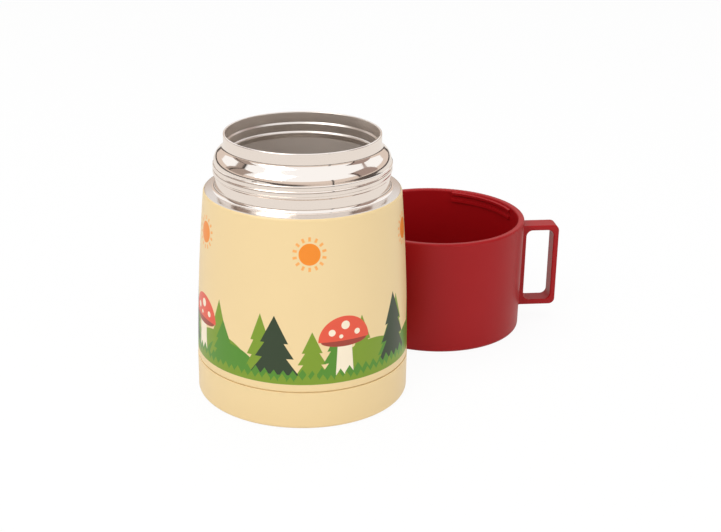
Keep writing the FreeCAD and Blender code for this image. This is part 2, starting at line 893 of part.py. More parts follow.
doc.recompute()
for made in doc.Objects:
    if "Invalid" in made.State or "Error" in made.State:
        raise RuntimeError(f"{made.Name} did not rebuild")
for piece in pieces:
    if piece.Shape.isNull() or not piece.Shape.isValid():
        raise RuntimeError(f"{piece.Label} has no sound shape")

os.makedirs("parts", exist_ok=True)
for piece in pieces:
    piece.Shape.exportStep(f"parts/{piece.Label}.step")
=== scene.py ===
"""The looks of an open food jar: enamelled and polished steel, a red cup on the right, and the
stopper behind. Sizes are in millimetres and turn to metres where a mesh is made. +Z is up."""

import math

import bmesh
import bpy
import numpy as np
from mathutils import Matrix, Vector


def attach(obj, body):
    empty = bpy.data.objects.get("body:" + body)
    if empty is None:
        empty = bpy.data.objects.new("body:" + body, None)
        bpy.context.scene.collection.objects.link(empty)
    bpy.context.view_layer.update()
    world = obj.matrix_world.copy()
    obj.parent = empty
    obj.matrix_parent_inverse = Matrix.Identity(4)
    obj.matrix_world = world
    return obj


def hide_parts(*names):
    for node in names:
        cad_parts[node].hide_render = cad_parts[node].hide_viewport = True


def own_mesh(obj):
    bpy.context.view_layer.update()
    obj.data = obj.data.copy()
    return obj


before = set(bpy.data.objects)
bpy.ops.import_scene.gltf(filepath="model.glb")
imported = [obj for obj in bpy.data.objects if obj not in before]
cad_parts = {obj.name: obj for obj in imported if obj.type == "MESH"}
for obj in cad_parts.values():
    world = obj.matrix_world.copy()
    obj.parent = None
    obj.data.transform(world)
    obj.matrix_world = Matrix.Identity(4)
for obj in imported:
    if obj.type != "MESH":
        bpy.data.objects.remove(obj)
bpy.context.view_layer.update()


# Outer shell: one drawn sheet of steel, enamelled up to the edge of its shoulder and polished bare
# above it. The neck is stepped, and a thread is rolled into its widest band.

MM = 0.001
SHELL_WALL = 0.45
LIP_R, RIM_Z, LIP_FOOT_Z, LIP_COVE_R = 34.25, 118.8, 114.3, 3.0
SLOPE_TOP_R, SLOPE_TOP_Z, SLOPE_FOOT_R, SLOPE_FOOT_Z = 35.13, 112.18, 36.84, 110.64
SLOPE_INSET, FLARE_ROUND = 0.32, 6.0
BAND_R, BAND_FOOT_Z, BAND_TOP_Z, BAND_ROWS = 38.6, 100.8, 106.4, 113
COLLAR_R, COLLAR_FOOT_Z, COLLAR_TOP_Z, COLLAR_COVE_R = 38.1, 96.4, 100.2, 1.9
RING_R, RING_Z, RING_MARGIN = 39.9, 94.5, 0.5
SHOULDER_R, SHOULDER_Z, SHOULDER_ROUND = 42.1, 94.1, 1.5
BODY_TOP_R, BODY_TOP_Z, BODY_BOW_R = 43.5, 92.6, 1070.0
BODY_FOOT_R, BODY_FOOT_Z, BODY_FOOT_ROUND = 47.4, 17.7, 0.25
SKIRT_R, SKIRT_TOP_Z, SKIRT_FOOT_Z = 46.8, 17.2, 3.6
THREAD_PITCH, THREAD_RISE, THREAD_CREASE = 2.5, 0.45, math.radians(32)
THREAD_START_Z, THREAD_TURNS, THREAD_FADE = 101.58, 1.96, 0.08
THREAD_EDGE, THREAD_EDGE_SHARE = 0.35, 0.35
ENAMEL_EDGE_Z = 93.75
NEAR = 0.2
ARC_STEP, ARC_REACH = math.radians(7), 5.0
# These three are in metres, as meshes are.
SEAM_GAP, SPECK, PATH_R = 1e-7, 1e-8, 0.1


def outline(steps):
    """Points round a closed outline. A step is (r, z), reached by a line, or (r, z, radius, side),
    reached by an arc whose centre lies on the left (side 1) or on the right (side -1)."""
    points = []
    for before, step in zip(steps[-1:] + steps[:-1], steps):
        start, end = np.array(before[:2], float), np.array(step[:2], float)
        if len(step) == 2:
            points.append(end)
            continue
        radius, side = step[2:]
        chord = end - start
        left = np.array([-chord[1], chord[0]]) / np.linalg.norm(chord)
        centre = (start + end) / 2 + side * left * math.sqrt(radius ** 2 - chord @ chord / 4)
        begin = math.atan2(start[1] - centre[1], start[0] - centre[0])
        finish = math.atan2(end[1] - centre[1], end[0] - centre[0])
        sweep = side * ((finish - begin) * side % math.tau)
        count = math.ceil(max(abs(sweep) / ARC_STEP, abs(sweep) * radius / ARC_REACH, 2))
        for angle in np.linspace(begin, begin + sweep, count + 1)[1:]:
            points.append(centre + radius * np.array([math.cos(angle), math.sin(angle)]))
    return np.array(points)


def new_tree(name, inputs):
    """A Geometry Nodes tree with named inputs: its node group, a function that adds a node to it,
    and the sockets of its inputs."""
    tree = bpy.data.node_groups.new(name, "GeometryNodeTree")
    tree.is_modifier = True
    tree.interface.new_socket("Made", in_out="OUTPUT", socket_type="NodeSocketGeometry")
    for key, kind in inputs.items():
        tree.interface.new_socket(key, in_out="INPUT", socket_type="NodeSocket" + kind)

    def add(kind, **links):
        node = tree.nodes.new(kind)
        for key, source in links.items():
            target = node.inputs[key.replace("_", " ")]
            if isinstance(source, bpy.types.NodeSocket):
                tree.links.new(source, target)
            else:
                target.default_value = source
        return node

    return tree, add, add("NodeGroupInput").outputs


def close_tree(add, shape, finish):
    """Ends a tree: the shape gets its finish, and copies become real faces."""
    painted = add("GeometryNodeSetMaterial", Geometry=shape, Material=finish)
    real = add("GeometryNodeRealizeInstances", Geometry=painted.outputs["Geometry"])
    add("NodeGroupOutput", Made=real.outputs["Geometry"])


def grown(name, tree, start, **values):
    """The plain mesh that a tree makes from a starting mesh and its input values."""
    holder = bpy.data.objects.new(name + "_start", start)
    bpy.context.scene.collection.objects.link(holder)
    nodes = holder.modifiers.new(tree.name, "NODES")
    nodes.node_group = tree
    keys = {item.name: item.identifier for item in tree.interface.items_tree if item.in_out == "INPUT"}
    for key, value in values.items():
        nodes[keys[key.replace("_", " ")]] = value
    seen = holder.evaluated_get(bpy.context.evaluated_depsgraph_get())
    mesh = bpy.data.meshes.new_from_object(seen)
    mesh.name = name
    bpy.data.objects.remove(holder)
    piece = bpy.data.objects.new(name, mesh)
    bpy.context.scene.collection.objects.link(piece)
    return piece


def smooth(piece, crease):
    """Turns faces outwards and shades smooth except at creases."""
    work = bmesh.new()
    work.from_mesh(piece.data)
    bmesh.ops.dissolve_degenerate(work, edges=work.edges, dist=SPECK)
    bmesh.ops.recalc_face_normals(work, faces=work.faces)
    work.to_mesh(piece.data)
    work.free()
    piece.data.shade_smooth()
    piece.data.set_sharp_from_angle(angle=crease)


# The turning tree carries an outline round a circle and closes its seam and poles.
turned_sheet, add, given = new_tree("turned_sheet", {
    "Outline": "Geometry", "Path Radius": "Float", "Steps Round": "Int", "Finish": "Material"})
circle = add("GeometryNodeCurvePrimitiveCircle", Resolution=given["Steps Round"],
             Radius=given["Path Radius"])
profile = add("GeometryNodeMeshToCurve", Mesh=given["Outline"])
swept = add("GeometryNodeCurveToMesh", Curve=circle.outputs["Curve"],
            Profile_Curve=profile.outputs["Curve"])
closed = add("GeometryNodeMergeByDistance", Geometry=swept.outputs["Mesh"], Distance=SEAM_GAP)
close_tree(add, closed.outputs["Geometry"], given["Finish"])


def turn(name, steps, finish, around=224, crease=math.radians(20)):
    """A piece turned from an outline about the upright axis through the origin."""
    ring = outline(steps) * MM
    flat = bpy.data.meshes.new(name + "_outline")
    corners = [(r - PATH_R, -z, 0.0) for r, z in ring]
    flat.from_pydata(corners, [(i, (i + 1) % len(ring)) for i in range(len(ring))], [])
    piece = grown(name, turned_sheet, flat, Path_Radius=PATH_R, Steps_Round=around, Finish=finish.material)
    smooth(piece, crease)
    return piece


class Wire:
    """An output of a shader node, on which sums are written as Python expressions."""

    def __init__(self, finish, socket):
        self.finish = finish
        self.socket = socket

    def math(self, operation, *others, clamp=False):
        settings = {"operation": operation, "use_clamp": clamp}
        return self.finish.node("ShaderNodeMath", settings, dict(enumerate([self, *others])))

    def __add__(self, other):
        return self.math("ADD", other)

    def __sub__(self, other):
        return self.math("SUBTRACT", other)

    def __mul__(self, other):
        return self.math("MULTIPLY", other)

    def __truediv__(self, other):
        return self.math("DIVIDE", other)

    def __abs__(self):
        return self.math("ABSOLUTE")

    def __rsub__(self, other):
        return self.finish.node("ShaderNodeMath", {"operation": "SUBTRACT"}, {0: other, 1: self})

    def __rtruediv__(self, other):
        return self.finish.node("ShaderNodeMath", {"operation": "DIVIDE"}, {0: other, 1: self})

    __radd__ = __add__
    __rmul__ = __mul__

    def least(self, other):
        return self.math("MINIMUM", other)

    def most(self, other):
        return self.math("MAXIMUM", other)

    def out(self, name):
        return Wire(self.finish, self.socket.node.outputs[name])


class Finish:
    """A material, built up node by node. It ends in one Principled shader."""

    def __init__(self, name, **sockets):
        self.material = bpy.data.materials.new(name)
        self.material.use_nodes = True
        self.tree = self.material.node_tree
        self.tree.nodes.clear()
        self.shader = self.tree.nodes.new("ShaderNodeBsdfPrincipled")
        self.surface = self.tree.nodes.new("ShaderNodeOutputMaterial").inputs["Surface"]
        self.tree.links.new(self.shader.outputs["BSDF"], self.surface)
        self.set(**sockets)

    def set(self, **sockets):
        for name, value in sockets.items():
            self.feed(self.shader.inputs[name.replace("_", " ")], value)

    def feed(self, socket, value):
        if isinstance(value, Wire):
            self.tree.links.new(value.socket, socket)
        elif socket.type == "RGBA":
            socket.default_value = (*value, 1.0)
        else:
            socket.default_value = value

    def node(self, kind, settings, sockets):
        made = self.tree.nodes.new(kind)
        for name, value in settings.items():
            setattr(made, name, value)
        for key, value in sockets.items():
            self.feed(made.inputs[key], value)
        return Wire(self, next(o for o in made.outputs if o.enabled))

    def place(self):
        """The place on the piece in millimetres, as three wires."""
        at = self.node("ShaderNodeTexCoord", {}, {}).out("Object")
        split = self.node("ShaderNodeSeparateXYZ", {}, {0: at})
        return [split.out(axis) / MM for axis in "XYZ"]

    def noise(self, scale, detail=3.0, stretch=(1.0, 1.0, 1.0)):
        """Smooth noise of so many features per metre, from 0 to 1."""
        at = self.node("ShaderNodeTexCoord", {}, {}).out("Object")
        at = self.node("ShaderNodeMapping", {}, {0: at, "Scale": stretch})
        return self.node("ShaderNodeTexNoise", {}, {"Vector": at, "Scale": scale, "Detail": detail})

    def mix(self, factor, first, second):
        return self.node("ShaderNodeMix", {"data_type": "RGBA"}, {0: factor, 6: first, 7: second})

    def bump(self, height, depth, strength=1.0):
        sockets = {"Height": height, "Distance": depth * MM, "Strength": strength}
        self.set(Normal=self.node("ShaderNodeBump", {}, sockets))


def srgb(red, green, blue):
    """A colour given as 0 to 255 on screen, as the light that a shader takes."""
    shares = [value / 255 for value in (red, green, blue)]
    return [s / 12.92 if s <= 0.04045 else ((s + 0.055) / 1.055) ** 2.4 for s in shares]


def enamelled(name):
    """Baked enamel: a soft gloss over a faint orange peel."""
    finish = Finish(name, Roughness=0.34, Coat_Weight=0.12, Coat_Roughness=0.2, Specular_IOR_Level=0.3)
    finish.bump(finish.noise(scale=260.0, detail=2.0), depth=0.04, strength=0.35)
    return finish


def cream_ground(finish):
    """The enamel's own cream, a shade deeper in places."""
    return finish.mix(finish.noise(scale=9.0), [share * CREAM_DEEP for share in CREAM], CREAM)


def bare_metal(name, tint, rough, spread, scale, detail=3.0, rings=1.0, metallic=1.0):
    """Metal whose gloss wanders a little, drawn out in rings where it was turned."""
    metal = Finish(name, Metallic=metallic, Base_Color=tint)
    metal.set(Roughness=metal.noise(scale, detail, (1.0, 1.0, rings)) * spread + rough)
    return metal


# The printed band round the shell is a wood of firs, bushes and toadstools on grass, under a few
# suns. Its lengths are along the wall. A motif's shift is how far round its first one is.

CREAM, CREAM_DEEP = srgb(237, 210, 158), 0.985
LEAF_LIGHT, LEAF_MIDDLE, LEAF_DARK = srgb(124, 153, 40), srgb(84, 140, 44), srgb(50, 66, 44)
HAT_RED, GILL_RED, STALK_PALE = srgb(228, 86, 62), srgb(158, 64, 50), srgb(246, 232, 206)
SUN_ORANGE, SUN_PALE = srgb(240, 138, 34), srgb(244, 170, 92)
PRINT_R, PRINT_FOOT_Z, PRINT_EDGE = 46.0, 21.0, 0.12
AROUND = math.tau * PRINT_R
# Bushes: count, shift, half the width, height and ink.
BUSHES = ((4, 31.0, 21.0, 17.0, LEAF_LIGHT), (3, 62.0, 17.0, 14.0, LEAF_MIDDLE))
# Firs: count, shift, least height, what chance adds to it, width and ink.
FIRS = ((13, 4.0, 24.0, 9.0, 7.5, LEAF_LIGHT), (11, 15.0, 17.0, 8.0, 8.0, LEAF_MIDDLE),
        (5, -12.0, 30.0, 6.0, 10.5, LEAF_DARK))
# Tiers of a fir: foot and tip as shares of its height, and width as a share of its own.
FIR_TIERS = ((0.14, 0.62, 1.0), (0.38, 0.82, 0.8), (0.6, 1.0, 0.58))
TRUNK_WIDE, TRUNK_TALL = 0.12, 0.3
TOADSTOOLS, TOADSTOOL_SHIFT, HAT_FOOT = 4, 18.0, 19.0
HAT_HALF, HAT_TALL, GILL_HALF, GILL_TALL = 11.5, 11.0, 10.4, 2.6
STALK_HALF, STALK_TAPER, STALK_TUCK = 3.1, 0.06, 1.0
# Spots on a hat: right, above and radius.
SPOTS = ((-5.6, 4.0, 1.5), (0.4, 6.9, 1.9), (5.8, 3.2, 1.3), (-1.6, 2.0, 0.9))
SUNS, SUN_SHIFT, SUN_Z, SUN_R = 5, 3.0, 79.0, 4.7
RAYS, RAY_HALF, RAY_START_R, RAY_END_R = 14, 0.55, 5.6, 7.4
# Grass: shift, height, width of a blade and ink.
GRASS = ((0.0, 6.4, 4.0, LEAF_MIDDLE), (1.7, 3.6, 3.4, LEAF_LIGHT))
BLADE_CHANCE, BLADE_SLOPE = 1.6, 1.5


class Print:
    """The colour printed so far, and the place on the wall: the way round, z, and the way up."""

    def __init__(self, finish):
        self.finish = finish
        x, y, self.z = finish.place()
        self.around = x.math("ARCTAN2", y * -1) * PRINT_R
        self.up = self.z - PRINT_FOOT_Z
        self.colour = cream_ground(finish)

    def repeat(self, count, shift):
        """The way along from the nearest of so many motifs, and that one's chance, from 0 to 1."""
        step = AROUND / count
        moved = self.around - shift
        cell = (moved / step).math("ROUND")
        chance = self.finish.node("ShaderNodeTexWhiteNoise", {"noise_dimensions": "1D"}, {"W": cell + shift})
        return moved - cell * step, chance.out("Value")

    def lay(self, inside, ink):
        """Prints one ink where the distance inside a motif's edge is more than nothing."""
        shown = inside.math("MULTIPLY_ADD", 1 / PRINT_EDGE, 0.5, clamp=True)
        self.colour = self.finish.mix(shown, self.colour, ink)


def oval(x, z, across, up):
    """Distance inside an oval of half-axes across and up."""
    reach = ((x / across).math("POWER", 2.0) + (z / up).math("POWER", 2.0)).math("SQRT")
    return (1 - reach) * min(across, up)


def fir(x, up, height, width):
    """Distance inside a fir of three tiers on a short trunk."""
    inside = (width * TRUNK_WIDE - abs(x)).least(up).least(height * TRUNK_TALL - up)
    for foot, tip, wide in FIR_TIERS:
        slope = width / height * (wide / (tip - foot))
        tier = ((height * tip - up) * slope - abs(x)).least(up - height * foot)
        inside = inside.most(tier)
    return inside


def print_wood(band):
    for count, shift, half, tall, ink in BUSHES:
        along, _ = band.repeat(count, shift)
        band.lay(oval(along, band.up, half, tall).least(band.up), ink)
    for count, shift, least, more, width, ink in FIRS:
        along, chance = band.repeat(count, shift)
        band.lay(fir(along, band.up, chance * more + least, width), ink)


def print_toadstools(band):
    along, _ = band.repeat(TOADSTOOLS, TOADSTOOL_SHIFT)
    up = band.up - HAT_FOOT
    stalk = STALK_HALF - up * STALK_TAPER - abs(along)
    band.lay(stalk.least(band.up).least(STALK_TUCK - up), STALK_PALE)
    band.lay(oval(along, up, GILL_HALF, GILL_TALL), GILL_RED)
    band.lay(oval(along, up, HAT_HALF, HAT_TALL).least(up), HAT_RED)
    for right, above, radius in SPOTS:
        band.lay(oval(along - right, up - above, radius, radius), STALK_PALE)


def print_suns(band):
    along, _ = band.repeat(SUNS, SUN_SHIFT)
    up = band.z - SUN_Z
    reach = (along * along + up * up).math("SQRT")
    bearing = along.math("ARCTAN2", up)
    ray = math.tau / RAYS
    beside = abs(bearing - (bearing / ray).math("ROUND") * ray) * reach
    band.lay((RAY_HALF - beside).least(RAY_END_R - reach).least(reach - RAY_START_R), SUN_PALE)
    band.lay(SUN_R - reach, SUN_ORANGE)


def print_grass(band):
    for shift, tall, blade, ink in GRASS:
        along, chance = band.repeat(round(AROUND / blade), shift)
        tip = tall + chance * BLADE_CHANCE - abs(along) * BLADE_SLOPE
        band.lay((tip - band.up).least(band.up), ink)


enamel = enamelled("printed_enamel")
band = Print(enamel)
for print_motif in (print_wood, print_toadstools, print_suns, print_grass):
    print_motif(band)
enamel.set(Base_Color=band.colour)

polished = bare_metal("polished_steel", srgb(250, 243, 237), rough=0.06, spread=0.04,
                      scale=60.0, detail=2.0, rings=8.0)
brushed = bare_metal("satin_steel", srgb(222, 214, 208), rough=0.17, spread=0.06,
                     scale=120.0, rings=12.0)


def roll_thread(piece):
    """Rolls the thread into the neck's band: a right-handed rib with a round crest that winds twice
    round from the back, and fades in and out at its ends."""
    mesh = piece.data
    flat = np.empty(len(mesh.vertices) * 3, np.float32)
    mesh.vertices.foreach_get("co", flat)
    x, y, z = (flat.reshape(-1, 3) / MM).T
    r, angle = np.hypot(x, y), np.arctan2(y, x)
    turned = (angle - math.radians(90)) % math.tau / math.tau
    edges = np.minimum(z - BAND_FOOT_Z, BAND_TOP_Z - z) / THREAD_EDGE + THREAD_EDGE_SHARE
    out = np.zeros_like(r)
    for lap in range(math.ceil(THREAD_TURNS)):
        along = turned + lap
        middle = THREAD_START_Z + THREAD_PITCH * along
        fade = np.clip(np.minimum(along, THREAD_TURNS - along) / THREAD_FADE, 0, 1)
        away = np.clip(np.abs(z - middle) / (THREAD_PITCH / 2), 0, 1)
        rib = THREAD_RISE * np.sqrt(1 - away ** 2) * (3 - 2 * fade) * fade ** 2 * np.clip(edges, 0, 1)
        out = np.maximum(out, rib)
    on_band = (r > BAND_R - NEAR) & (z > BAND_FOOT_Z - NEAR) & (z < BAND_TOP_Z + NEAR)
    swell = 1 + np.where(on_band, out, 0.0) / np.maximum(r, 1.0)
    mesh.vertices.foreach_set("co", (np.stack([x * swell, y * swell, z], axis=-1) * MM).ravel())
    mesh.update()
    smooth(piece, THREAD_CREASE)


shell = turn("jar_shell", [
    (LIP_R - SHELL_WALL, RIM_Z),
    (LIP_R - SHELL_WALL, LIP_FOOT_Z),
    (SLOPE_TOP_R - SLOPE_INSET, SLOPE_TOP_Z - SLOPE_INSET, LIP_COVE_R + SHELL_WALL, 1),
    (SLOPE_FOOT_R - SLOPE_INSET, SLOPE_FOOT_Z - SLOPE_INSET),
    (BAND_R - SHELL_WALL, BAND_TOP_Z, FLARE_ROUND - SHELL_WALL, -1),
    (BAND_R - SHELL_WALL, BAND_FOOT_Z),
    (COLLAR_R - SHELL_WALL, COLLAR_TOP_Z),
    (COLLAR_R - SHELL_WALL, COLLAR_FOOT_Z),
    (RING_R, RING_Z - SHELL_WALL, COLLAR_COVE_R + SHELL_WALL, 1),
    (SHOULDER_R, SHOULDER_Z - SHELL_WALL),
    (BODY_TOP_R - SHELL_WALL, BODY_TOP_Z, SHOULDER_ROUND - SHELL_WALL, -1),
    (BODY_FOOT_R - SHELL_WALL, BODY_FOOT_Z, BODY_BOW_R - SHELL_WALL, -1),
    (SKIRT_R - SHELL_WALL, SKIRT_TOP_Z),
    (SKIRT_R - SHELL_WALL, SKIRT_FOOT_Z),
    (SKIRT_R, SKIRT_FOOT_Z),
    (SKIRT_R, SKIRT_TOP_Z),
    (BODY_FOOT_R - BODY_FOOT_ROUND, BODY_FOOT_Z),
    (BODY_FOOT_R, BODY_FOOT_Z + BODY_FOOT_ROUND, BODY_FOOT_ROUND, 1),
    (BODY_TOP_R, BODY_TOP_Z, BODY_BOW_R, 1),
    (SHOULDER_R, SHOULDER_Z, SHOULDER_ROUND, 1),
    (RING_R, RING_Z),
    (COLLAR_R, COLLAR_FOOT_Z, COLLAR_COVE_R, -1),
    (COLLAR_R, COLLAR_TOP_Z),
    *[(BAND_R, z) for z in np.linspace(BAND_FOOT_Z, BAND_TOP_Z, BAND_ROWS)],
    (SLOPE_FOOT_R, SLOPE_FOOT_Z, FLARE_ROUND, 1),
    (SLOPE_TOP_R, SLOPE_TOP_Z),
    (LIP_R, LIP_FOOT_Z, LIP_COVE_R, -1),
    (LIP_R, RIM_Z - SHELL_WALL),
    (LIP_R - SHELL_WALL, RIM_Z, SHELL_WALL, 1),
], enamel)
roll_thread(shell)

for finish in (polished, brushed):
    shell.data.materials.append(finish.material)
for face in shell.data.polygons:
    r, z = face.center.xy.length / MM, face.center.z / MM
    bare = z > ENAMEL_EDGE_Z
    on_ring = bare and z < RING_Z + NEAR and r > RING_R - RING_MARGIN
    face.material_index = 2 if on_ring else int(bare)
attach(shell, "jar")
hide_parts("outer_shell")


# Inner liner: the spun steel vessel that the food is in. Below the rim it has a ledge and a bead for
# the stopper, turned a little brighter than the satin wall, and its floor is dished.

LINER_WALL, LINER_R = 0.45, 38.9
LIP_INNER_R, LEDGE_TOP_Z = LIP_R - SHELL_WALL - LINER_WALL, 114.0
BEAD_R, BEAD_ROUND, BEAD_FOOT_Z, BEAD_TOP_Z, LEDGE_Z = 32.9, 1.3, 107.7, 109.9, 113.2
THROAT_R, THROAT_TOP_Z, THROAT_FOOT_Z, THROAT_ROUND = 33.3, 106.7, 97.0, 7.5
THROAT_INSET, VESSEL_TOP_Z = 0.18, 89.0
CORNER_R, FLOOR_Z, CROWN_Z, CROWN_R = 5.5, 10.85, 11.85, 14.0

inside_steel = bare_metal("spun_steel", srgb(224, 215, 207), rough=0.36, spread=0.06,
                          scale=70.0, detail=2.0, rings=6.0, metallic=0.65)
ledge_steel = bare_metal("turned_ledge", srgb(234, 228, 223), rough=0.29, spread=0.05,
                         scale=70.0, detail=2.0, rings=6.0)

liner = turn("food_liner", [
    (LIP_INNER_R + LINER_WALL, RIM_Z),
    (LIP_INNER_R, RIM_Z - LINER_WALL, LINER_WALL, 1),
    (LIP_INNER_R, LEDGE_TOP_Z),
    (BEAD_R, LEDGE_Z),
    (BEAD_R, BEAD_TOP_Z),
    (BEAD_R, BEAD_FOOT_Z, BEAD_ROUND, 1),
    (THROAT_R, THROAT_TOP_Z),
    (THROAT_R, THROAT_FOOT_Z),
    (LINER_R, VESSEL_TOP_Z, THROAT_ROUND, -1),
    (LINER_R, FLOOR_Z + CORNER_R),
    (LINER_R - CORNER_R, FLOOR_Z, CORNER_R, -1),
    (CROWN_R, CROWN_Z),
    (0.0, CROWN_Z),
    (0.0, CROWN_Z - LINER_WALL),
    (CROWN_R, CROWN_Z - LINER_WALL),
    (LINER_R - CORNER_R, FLOOR_Z - LINER_WALL),
    (LINER_R + LINER_WALL, FLOOR_Z + CORNER_R, CORNER_R + LINER_WALL, 1),
    (LINER_R + LINER_WALL, VESSEL_TOP_Z),
    (THROAT_R + LINER_WALL, THROAT_FOOT_Z + THROAT_INSET, THROAT_ROUND + LINER_WALL, 1),
    (THROAT_R + LINER_WALL, THROAT_TOP_Z),
    (BEAD_R + LINER_WALL, BEAD_FOOT_Z),
    (BEAD_R + LINER_WALL, BEAD_TOP_Z, BEAD_ROUND, -1),
    (BEAD_R + LINER_WALL, LEDGE_Z),
    (LIP_INNER_R + LINER_WALL, LEDGE_TOP_Z),
], inside_steel)
liner.data.materials.append(ledge_steel.material)
for face in liner.data.polygons:
    face.material_index = int(face.center.z / MM > THROAT_TOP_Z)
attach(liner, "jar")
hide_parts("inner_liner", "liner_bottom")


# Base cap: a pressed steel cup in the same enamel without the print, bonded over the shell's skirt.
# Its floor is raised inside a foot ring.

CAP_R, CAP_TOP_Z, CAP_WALL = 47.5, 17.2, 0.6
CAP_EDGE_R, CAP_INNER_ROUND, CAP_LIP_ROUND = 1.6, 1.1, 0.2
PLATE_R, PLATE_Z, FOOT_INNER_R, SLANT_INSET = 40.3, 1.2, 41.5, 0.4

plain_enamel = enamelled("plain_enamel")
plain_enamel.set(Base_Color=cream_ground(plain_enamel))

cap = turn("base_cap_shell", [
    (0.0, PLATE_Z),
    (PLATE_R, PLATE_Z),
    (FOOT_INNER_R, 0.0),
    (CAP_R - CAP_EDGE_R, 0.0),
    (CAP_R, CAP_EDGE_R, CAP_EDGE_R, 1),
    (CAP_R, CAP_TOP_Z - CAP_LIP_ROUND),
    (CAP_R - CAP_LIP_ROUND, CAP_TOP_Z, CAP_LIP_ROUND, 1),
    (CAP_R - CAP_WALL, CAP_TOP_Z),
    (CAP_R - CAP_WALL, CAP_WALL + CAP_INNER_ROUND),
    (CAP_R - CAP_EDGE_R, CAP_WALL, CAP_INNER_ROUND, -1),
    (FOOT_INNER_R + SLANT_INSET, CAP_WALL),
    (PLATE_R + SLANT_INSET, PLATE_Z + CAP_WALL),
    (0.0, PLATE_Z + CAP_WALL),
], plain_enamel)
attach(cap, "jar")
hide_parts("base_cap")


# Cup: one red polypropylene moulding with its handle, satin outside, and with the thread ridges
# that hold it on the neck as the jar's lid.


def mottled(name, dark, pale, scale, **sockets):
    """A finish whose colour wanders between two tones."""
    finish = Finish(name, **sockets)
    finish.set(Base_Color=finish.mix(finish.noise(scale), dark, pale))
    return finish


def moulded(name, dark, pale, scale, grain, **sockets):
    """Plastic with the fine grain that its mould leaves."""
    plastic = mottled(name, dark, pale, scale, **sockets)
    plastic.bump(plastic.noise(grain, detail=2.0), depth=0.02, strength=0.5)
    return plastic


def dress(finishes):
    """Gives each carried-over CAD node its finish."""
    for node, finish in finishes.items():
        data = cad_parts[node].data
        data.materials.clear()
        data.materials.append(finish.material)


red = moulded("red_plastic", srgb(156, 9, 16), srgb(164, 14, 20), scale=30.0, grain=1400.0,
              Roughness=0.4, Specular_IOR_Level=0.24)
dress({"cup_lid": red})


# Stopper: a grey moulded plug and cover filled with foam, with silicone gaskets pressed on. The red
# button in its middle opens the vent by a grey stem with a silicone seal.

grey = moulded("grey_plastic", srgb(196, 194, 188), srgb(204, 202, 196), scale=40.0, grain=1600.0,
               Roughness=0.5)
silicone = mottled("grey_silicone", srgb(186, 186, 182), srgb(198, 198, 194), scale=60.0, Roughness=0.55)
foam = mottled("pale_foam", srgb(224, 214, 178), srgb(238, 230, 200), scale=900.0, Roughness=0.9)
foam.bump(foam.noise(scale=1500.0), depth=0.1)

dress({
    "stopper_shell": grey, "stopper_cover": grey, "stopper_foam": foam,
    "plug_gasket": silicone, "rim_gasket": silicone,
    "valve_button": red, "valve_stem": grey, "valve_seal": silicone,
})


# Button spring: a coil of bright steel wire in the stopper's well, under the button. It is wound to
# an even pitch, and the button presses it together.

STOPPER_X, STOPPER_Y, WELL_FLOOR_Z = -18.0, 95.0, 22.0
COIL_R, COIL_TURNS, COIL_STEPS, WIRE_R, WIRE_SIDES = 5.6, 4.5, 40, 0.35, 12
SPRING_HEIGHT, PRESSED_BY = 10.9, 2.5

wire_steel = bare_metal("bright_wire", srgb(200, 200, 198), rough=0.2, spread=0.1, scale=300.0)

wound_wire, add, given = new_tree("wound_wire", {
    "Start": "Geometry", "Turns": "Float", "Coil Radius": "Float", "Rise": "Float",
    "Wire Radius": "Float", "Place": "Vector", "Finish": "Material"})
spiral = add("GeometryNodeCurveSpiral", Resolution=COIL_STEPS, Rotations=given["Turns"],
             Start_Radius=given["Coil Radius"], End_Radius=given["Coil Radius"], Height=given["Rise"])
wire = add("GeometryNodeCurvePrimitiveCircle", Resolution=WIRE_SIDES, Radius=given["Wire Radius"])
coil = add("GeometryNodeCurveToMesh", Curve=spiral.outputs["Curve"], Profile_Curve=wire.outputs["Curve"],
           Fill_Caps=True)
placed = add("GeometryNodeTransform", Geometry=coil.outputs["Mesh"], Translation=given["Place"])
close_tree(add, placed.outputs["Geometry"], given["Finish"])

spring = grown(
    "button_coil", wound_wire, bpy.data.meshes.new("button_coil_start"), Turns=COIL_TURNS,
    Coil_Radius=COIL_R * MM, Rise=(SPRING_HEIGHT - WIRE_R * 2) * MM, Wire_Radius=WIRE_R * MM,
    Place=(STOPPER_X * MM, STOPPER_Y * MM, (WELL_FLOOR_Z + WIRE_R) * MM), Finish=wire_steel.material)
smooth(spring, crease=math.radians(40))
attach(spring, "stopper")
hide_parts("button_spring")
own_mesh(spring)


# Pieces in the vacuum space, which nothing shows: copper foil round the liner, the pressed bottom
# with its drop of solder glass, and the getter.

copper = bare_metal("copper_foil", srgb(214, 140, 104), rough=0.2, spread=0.2, scale=200.0)
solder = mottled("solder_glass", srgb(40, 42, 48), srgb(60, 62, 70), scale=400.0, Roughness=0.2)
pellet = mottled("getter_metal", srgb(90, 88, 86), srgb(120, 118, 114), scale=900.0,
                 Roughness=0.8, Metallic=0.6)
dress({"radiation_foil": copper, "vacuum_bottom": brushed, "seal_bead": solder, "getter": pellet})


# Studio: a white table and surround, soft boxes above on both sides, and pale and dark cards that
# are seen only where something shines. Its lengths are in metres.

WHITE = (1.0, 1.0, 1.0)
TABLE_HALF, TABLE_TONE, TABLE_SHOWN = 6.0, (0.9, 0.9, 0.9), 0.93
SURROUND_LIGHT = 0.55
ROOM_R, ROOM_FOOT, ROOM_TOP, WALL_TOP = 1.6, 0.01, 0.17, 0.62
CARD_LIFT = 0.0004


class Surround(Finish):
    """The world's light, built up as a finish is. It ends in what is fed to its surface."""

    def __init__(self, name):
        world = bpy.data.worlds.new(name)
        world.use_nodes = True
        bpy.context.scene.world = world
        self.tree = world.node_tree
        self.tree.nodes.clear()
        self.surface = self.tree.nodes.new("ShaderNodeOutputWorld").inputs["Surface"]


